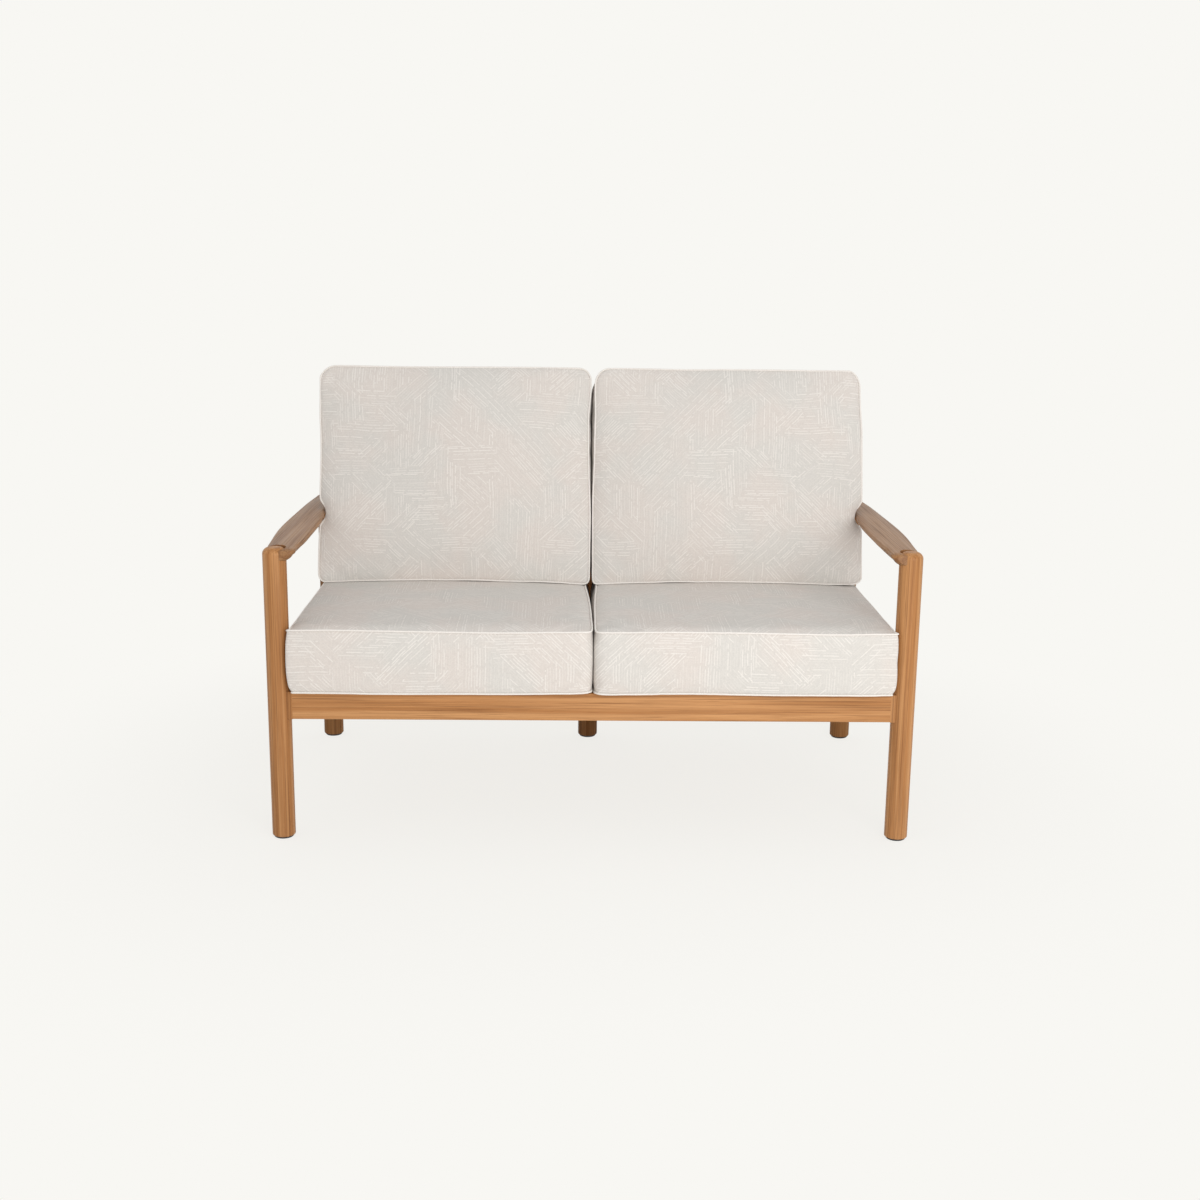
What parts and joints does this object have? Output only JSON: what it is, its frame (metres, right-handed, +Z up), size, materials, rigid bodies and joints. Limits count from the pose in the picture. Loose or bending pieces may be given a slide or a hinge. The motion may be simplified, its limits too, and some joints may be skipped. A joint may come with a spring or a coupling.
{
  "type": "patio loveseat",
  "caption": "Low outdoor two-seat sofa with a round-legged wooden frame, flat paddle arms, a leaning slatted back and loose boxed seat and back cushions.",
  "frame": {"origin": "on the floor, at the middle of the overall width and depth", "axes": "+X to the right as seen from the front, along the seat's width; +Y to the rear, the front faces -Y; +Z up"},
  "size_m": [1.3434, 0.7878, 0.9304],
  "materials": {
    "teak": "satin",
    "cushion_fabric": "matte",
    "cushion_foam": "matte",
    "glide_nylon": "matte",
    "steel_fastener": "satin",
    "brass_insert": "satin"
  },
  "bodies": {
    "frame": {"arm_dowels": "teak", "arm_left": "teak", "arm_right": "teak", "back_bolts": "steel_fastener", "back_low_rail": "teak", "back_slat_1": "teak", "back_slat_2": "teak", "back_slat_3": "teak", "back_slat_4": "teak", "back_slat_5": "teak", "back_slat_6": "teak", "back_slat_7": "teak", "back_slat_8": "teak", "back_slat_9": "teak", "back_stile_left": "teak", "back_stile_right": "teak", "back_top_rail": "teak", "centre_rear_leg": "teak", "centre_stretcher": "teak", "foot_glide_front_left": "glide_nylon", "foot_glide_front_right": "glide_nylon", "foot_glide_rear_centre": "glide_nylon", "foot_glide_rear_left": "glide_nylon", "foot_glide_rear_right": "glide_nylon", "front_post_left": "teak", "front_post_right": "teak", "front_rail": "teak", "ledger_screws": "steel_fastener", "rear_leg_left": "teak", "rear_leg_right": "teak", "rear_rail": "teak", "seat_slat_1": "teak", "seat_slat_2": "teak", "seat_slat_3": "teak", "seat_slat_4": "teak", "seat_slat_5": "teak", "seat_slat_6": "teak", "seat_slat_7": "teak", "seat_slat_8": "teak", "side_rail_left": "teak", "side_rail_right": "teak", "slat_ledger_left": "teak", "slat_ledger_right": "teak", "slat_screws": "steel_fastener", "stile_block_left": "teak", "stile_block_right": "teak", "threaded_inserts": "brass_insert"},
    "seat_cushion_left": {"seat_cushion_cover_left": "cushion_fabric", "seat_cushion_foam_left": "cushion_foam"},
    "seat_cushion_right": {"seat_cushion_cover_right": "cushion_fabric", "seat_cushion_foam_right": "cushion_foam"},
    "back_cushion_left": {"back_cushion_cover_left": "cushion_fabric", "back_cushion_foam_left": "cushion_foam"},
    "back_cushion_right": {"back_cushion_cover_right": "cushion_fabric", "back_cushion_foam_right": "cushion_foam"}
  },
  "joints": [
    {"name": "seat_cushion_left_pull", "type": "slide", "parent": "frame", "child": "seat_cushion_left", "axis": [0, -1, 0], "range_m": [0, 0.65]},
    {"name": "seat_cushion_right_pull", "type": "slide", "parent": "frame", "child": "seat_cushion_right", "axis": [0, -1, 0], "range_m": [0, 0.65]},
    {"name": "back_cushion_left_lift", "type": "slide", "parent": "frame", "child": "back_cushion_left", "axis": [0, 0.2588, 0.9659], "range_m": [0, 0.5]},
    {"name": "back_cushion_right_lift", "type": "slide", "parent": "frame", "child": "back_cushion_right", "axis": [0, 0.2588, 0.9659], "range_m": [0, 0.5]}
  ]
}
